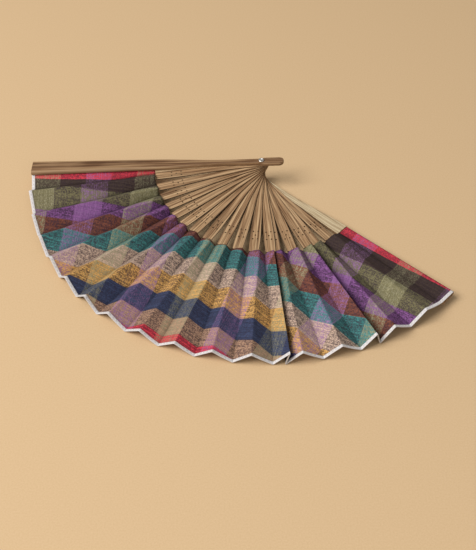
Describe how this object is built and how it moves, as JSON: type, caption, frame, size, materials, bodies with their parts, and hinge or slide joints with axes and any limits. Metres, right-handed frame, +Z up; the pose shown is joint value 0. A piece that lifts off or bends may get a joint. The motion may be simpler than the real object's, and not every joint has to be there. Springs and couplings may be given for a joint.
{
  "type": "folding hand fan",
  "caption": "Folding hand fan: flat pierced bamboo ribs between two thicker guards on one rivet, under a pleated checked cloth leaf with a pale bound edge; it folds shut about the rivet.",
  "frame": {"origin": "on the table the fan lies on, under the middle of its box", "axes": "+X along the open fan's long side, from the upper guard's tip towards the lower guard's; +Y from the leaf's front edge towards the rivet; +Z up from the table"},
  "size_m": [0.3354, 0.2062, 0.0273],
  "materials": {
    "rib_bamboo": "smooth stained bamboo, satin",
    "guard_bamboo": "smooth stained bamboo, satin",
    "leaf_cloth": "woven checked cloth, matt",
    "rivet_metal": "bright plated"
  },
  "bodies": {
    "lower_guard": {"lower_guard": "guard_bamboo", "leaf_end_panel_lower": "leaf_cloth", "leaf_fold_panel_18": "leaf_cloth", "rivet_tube": "rivet_metal", "rivet_foot": "rivet_metal"},
    "rib_17": {"rib_17": "rib_bamboo", "leaf_rib_panel_17": "leaf_cloth", "leaf_fold_panel_17": "leaf_cloth"},
    "rib_16": {"rib_16": "rib_bamboo", "leaf_rib_panel_16": "leaf_cloth", "leaf_fold_panel_16": "leaf_cloth"},
    "rib_15": {"rib_15": "rib_bamboo", "leaf_rib_panel_15": "leaf_cloth", "leaf_fold_panel_15": "leaf_cloth"},
    "rib_14": {"rib_14": "rib_bamboo", "leaf_rib_panel_14": "leaf_cloth", "leaf_fold_panel_14": "leaf_cloth"},
    "rib_13": {"rib_13": "rib_bamboo", "leaf_rib_panel_13": "leaf_cloth", "leaf_fold_panel_13": "leaf_cloth"},
    "rib_12": {"rib_12": "rib_bamboo", "leaf_rib_panel_12": "leaf_cloth", "leaf_fold_panel_12": "leaf_cloth"},
    "rib_11": {"rib_11": "rib_bamboo", "leaf_rib_panel_11": "leaf_cloth", "leaf_fold_panel_11": "leaf_cloth"},
    "rib_10": {"rib_10": "rib_bamboo", "leaf_rib_panel_10": "leaf_cloth", "leaf_fold_panel_10": "leaf_cloth"},
    "rib_09": {"rib_09": "rib_bamboo", "leaf_rib_panel_09": "leaf_cloth", "leaf_fold_panel_09": "leaf_cloth"},
    "rib_08": {"rib_08": "rib_bamboo", "leaf_rib_panel_08": "leaf_cloth", "leaf_fold_panel_08": "leaf_cloth"},
    "rib_07": {"rib_07": "rib_bamboo", "leaf_rib_panel_07": "leaf_cloth", "leaf_fold_panel_07": "leaf_cloth"},
    "rib_06": {"rib_06": "rib_bamboo", "leaf_rib_panel_06": "leaf_cloth", "leaf_fold_panel_06": "leaf_cloth"},
    "rib_05": {"rib_05": "rib_bamboo", "leaf_rib_panel_05": "leaf_cloth", "leaf_fold_panel_05": "leaf_cloth"},
    "rib_04": {"rib_04": "rib_bamboo", "leaf_rib_panel_04": "leaf_cloth", "leaf_fold_panel_04": "leaf_cloth"},
    "rib_03": {"rib_03": "rib_bamboo", "leaf_rib_panel_03": "leaf_cloth", "leaf_fold_panel_03": "leaf_cloth"},
    "rib_02": {"rib_02": "rib_bamboo", "leaf_rib_panel_02": "leaf_cloth", "leaf_fold_panel_02": "leaf_cloth"},
    "rib_01": {"rib_01": "rib_bamboo", "leaf_rib_panel_01": "leaf_cloth", "leaf_fold_panel_01": "leaf_cloth"},
    "upper_guard": {"upper_guard": "guard_bamboo", "leaf_end_panel_upper": "leaf_cloth"}
  },
  "joints": [
    {"name": "turn_rib_17", "type": "hinge", "parent": "lower_guard", "child": "rib_17", "pos_m": [0.0256, 0.08907, 0.00016], "axis": [-0.0574, -0.024, 0.9981], "range_deg": [0, 9.5], "deforming": ["leaf_fold_panel_18", "leaf_end_panel_lower", "leaf_rib_panel_17"]},
    {"name": "turn_rib_16", "type": "hinge", "parent": "rib_17", "child": "rib_16", "pos_m": [0.0256, 0.08907, 0.00016], "axis": [-0.0574, -0.024, 0.9981], "range_deg": [0, 8.5], "deforming": ["leaf_fold_panel_17", "leaf_rib_panel_16"]},
    {"name": "turn_rib_15", "type": "hinge", "parent": "rib_16", "child": "rib_15", "pos_m": [0.0256, 0.08907, 0.00016], "axis": [-0.0574, -0.024, 0.9981], "range_deg": [0, 4.6], "deforming": ["leaf_fold_panel_16", "leaf_rib_panel_15"]},
    {"name": "turn_rib_14", "type": "hinge", "parent": "rib_15", "child": "rib_14", "pos_m": [0.0256, 0.08907, 0.00016], "axis": [-0.0574, -0.024, 0.9981], "range_deg": [0, 8.5], "deforming": ["leaf_fold_panel_15", "leaf_rib_panel_14"]},
    {"name": "turn_rib_13", "type": "hinge", "parent": "rib_14", "child": "rib_13", "pos_m": [0.0256, 0.08907, 0.00016], "axis": [-0.0574, -0.024, 0.9981], "range_deg": [0, 8.5], "deforming": ["leaf_fold_panel_14", "leaf_rib_panel_13"]},
    {"name": "turn_rib_12", "type": "hinge", "parent": "rib_13", "child": "rib_12", "pos_m": [0.0256, 0.08907, 0.00016], "axis": [-0.0574, -0.024, 0.9981], "range_deg": [0, 2.7], "deforming": ["leaf_fold_panel_13", "leaf_rib_panel_12"]},
    {"name": "turn_rib_11", "type": "hinge", "parent": "rib_12", "child": "rib_11", "pos_m": [0.0256, 0.08907, 0.00016], "axis": [-0.0574, -0.024, 0.9981], "range_deg": [0, 8.5], "deforming": ["leaf_fold_panel_12", "leaf_rib_panel_11"]},
    {"name": "turn_rib_10", "type": "hinge", "parent": "rib_11", "child": "rib_10", "pos_m": [0.0256, 0.08907, 0.00016], "axis": [-0.0574, -0.024, 0.9981], "range_deg": [0, 8.5], "deforming": ["leaf_fold_panel_11", "leaf_rib_panel_10"]},
    {"name": "turn_rib_09", "type": "hinge", "parent": "rib_10", "child": "rib_09", "pos_m": [0.0256, 0.08907, 0.00016], "axis": [-0.0574, -0.024, 0.9981], "range_deg": [0, 8.5], "deforming": ["leaf_fold_panel_10", "leaf_rib_panel_09"]},
    {"name": "turn_rib_08", "type": "hinge", "parent": "rib_09", "child": "rib_08", "pos_m": [0.0256, 0.08907, 0.00016], "axis": [-0.0574, -0.024, 0.9981], "range_deg": [0, 8.5], "deforming": ["leaf_fold_panel_09", "leaf_rib_panel_08"]},
    {"name": "turn_rib_07", "type": "hinge", "parent": "rib_08", "child": "rib_07", "pos_m": [0.0256, 0.08907, 0.00016], "axis": [-0.0574, -0.024, 0.9981], "range_deg": [0, 8.5], "deforming": ["leaf_fold_panel_08", "leaf_rib_panel_07"]},
    {"name": "turn_rib_06", "type": "hinge", "parent": "rib_07", "child": "rib_06", "pos_m": [0.0256, 0.08907, 0.00016], "axis": [-0.0574, -0.024, 0.9981], "range_deg": [0, 7.3], "deforming": ["leaf_fold_panel_07", "leaf_rib_panel_06"]},
    {"name": "turn_rib_05", "type": "hinge", "parent": "rib_06", "child": "rib_05", "pos_m": [0.0256, 0.08907, 0.00016], "axis": [-0.0574, -0.024, 0.9981], "range_deg": [0, 7.3], "deforming": ["leaf_fold_panel_06", "leaf_rib_panel_05"]},
    {"name": "turn_rib_04", "type": "hinge", "parent": "rib_05", "child": "rib_04", "pos_m": [0.0256, 0.08907, 0.00016], "axis": [-0.0574, -0.024, 0.9981], "range_deg": [0, 7.3], "deforming": ["leaf_fold_panel_05", "leaf_rib_panel_04"]},
    {"name": "turn_rib_03", "type": "hinge", "parent": "rib_04", "child": "rib_03", "pos_m": [0.0256, 0.08907, 0.00016], "axis": [-0.0574, -0.024, 0.9981], "range_deg": [0, 7.3], "deforming": ["leaf_fold_panel_04", "leaf_rib_panel_03"]},
    {"name": "turn_rib_02", "type": "hinge", "parent": "rib_03", "child": "rib_02", "pos_m": [0.0256, 0.08907, 0.00016], "axis": [-0.0574, -0.024, 0.9981], "range_deg": [0, 7.3], "deforming": ["leaf_fold_panel_03", "leaf_rib_panel_02"]},
    {"name": "turn_rib_01", "type": "hinge", "parent": "rib_02", "child": "rib_01", "pos_m": [0.0256, 0.08907, 0.00016], "axis": [-0.0574, -0.024, 0.9981], "range_deg": [0, 8.05], "deforming": ["leaf_fold_panel_02", "leaf_rib_panel_01"]},
    {"name": "turn_upper_guard", "type": "hinge", "parent": "rib_01", "child": "upper_guard", "pos_m": [0.0256, 0.08907, 0.00016], "axis": [-0.0574, -0.024, 0.9981], "range_deg": [0, 7.3], "deforming": ["leaf_fold_panel_01", "leaf_end_panel_upper"]}
  ],
  "couplings": [
    {"joint": "turn_rib_16", "follows": "turn_rib_17", "ratio": 0.89474},
    {"joint": "turn_rib_15", "follows": "turn_rib_17", "ratio": 0.48421},
    {"joint": "turn_rib_14", "follows": "turn_rib_17", "ratio": 0.89474},
    {"joint": "turn_rib_13", "follows": "turn_rib_17", "ratio": 0.89474},
    {"joint": "turn_rib_12", "follows": "turn_rib_17", "ratio": 0.28421},
    {"joint": "turn_rib_11", "follows": "turn_rib_17", "ratio": 0.89474},
    {"joint": "turn_rib_10", "follows": "turn_rib_17", "ratio": 0.89474},
    {"joint": "turn_rib_09", "follows": "turn_rib_17", "ratio": 0.89474},
    {"joint": "turn_rib_08", "follows": "turn_rib_17", "ratio": 0.89474},
    {"joint": "turn_rib_07", "follows": "turn_rib_17", "ratio": 0.89474},
    {"joint": "turn_rib_06", "follows": "turn_rib_17", "ratio": 0.76842},
    {"joint": "turn_rib_05", "follows": "turn_rib_17", "ratio": 0.76842},
    {"joint": "turn_rib_04", "follows": "turn_rib_17", "ratio": 0.76842},
    {"joint": "turn_rib_03", "follows": "turn_rib_17", "ratio": 0.76842},
    {"joint": "turn_rib_02", "follows": "turn_rib_17", "ratio": 0.76842},
    {"joint": "turn_rib_01", "follows": "turn_rib_17", "ratio": 0.84737},
    {"joint": "turn_upper_guard", "follows": "turn_rib_17", "ratio": 0.76842}
  ]
}
